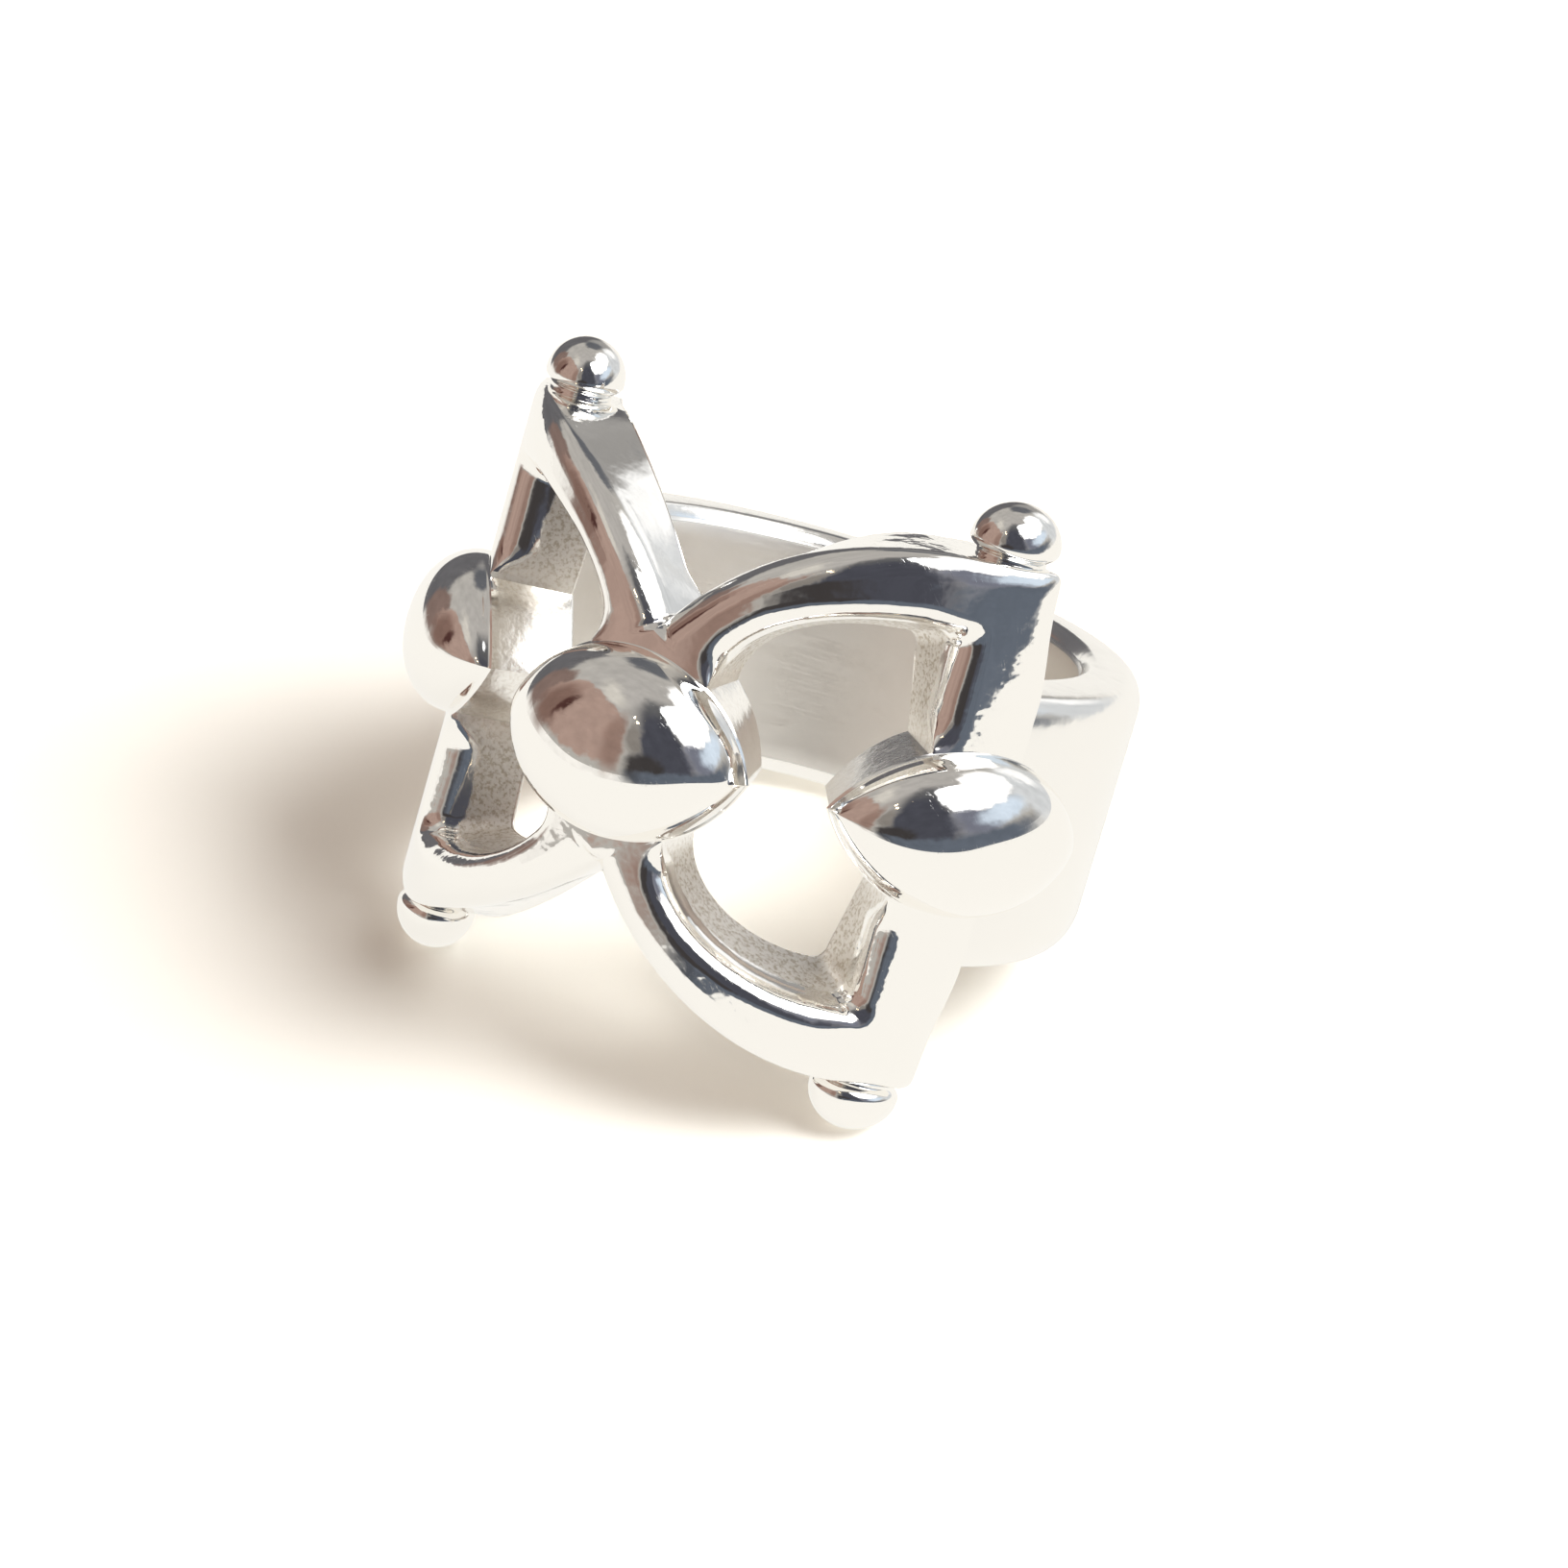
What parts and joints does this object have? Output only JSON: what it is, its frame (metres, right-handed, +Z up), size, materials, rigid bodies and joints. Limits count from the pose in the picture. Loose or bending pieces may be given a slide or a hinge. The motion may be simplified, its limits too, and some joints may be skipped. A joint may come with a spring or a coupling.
{
  "type": "finger ring",
  "caption": "Silver statement finger ring: pierced petal frames with a marquise dome between them, domes at the joints with a wide shank, and bead corners.",
  "frame": {"origin": "middle of the footprint of the ring as it lies at rest, on the table's surface", "axes": "+Z up from the table, -Y towards the ring's decorated front, +X to the viewer's right of it; the finger axis leans back from +Z towards +Y by 24.8 degrees"},
  "size_m": [0.0264, 0.0262, 0.0211],
  "materials": {
    "polished_silver": "mirror polished silver, reflecting the room, sharp highlights",
    "satin_silver": "silver polished outside and on the rims, fine satin on the finger side"
  },
  "bodies": {
    "root": {"shank": "satin_silver", "left_petal_frame": "polished_silver", "right_petal_frame": "polished_silver", "centre_boss": "polished_silver", "left_side_boss": "polished_silver", "right_side_boss": "polished_silver", "upper_left_bead": "polished_silver", "upper_right_bead": "polished_silver", "lower_left_bead": "polished_silver", "lower_right_bead": "polished_silver"}
  },
  "joints": []
}
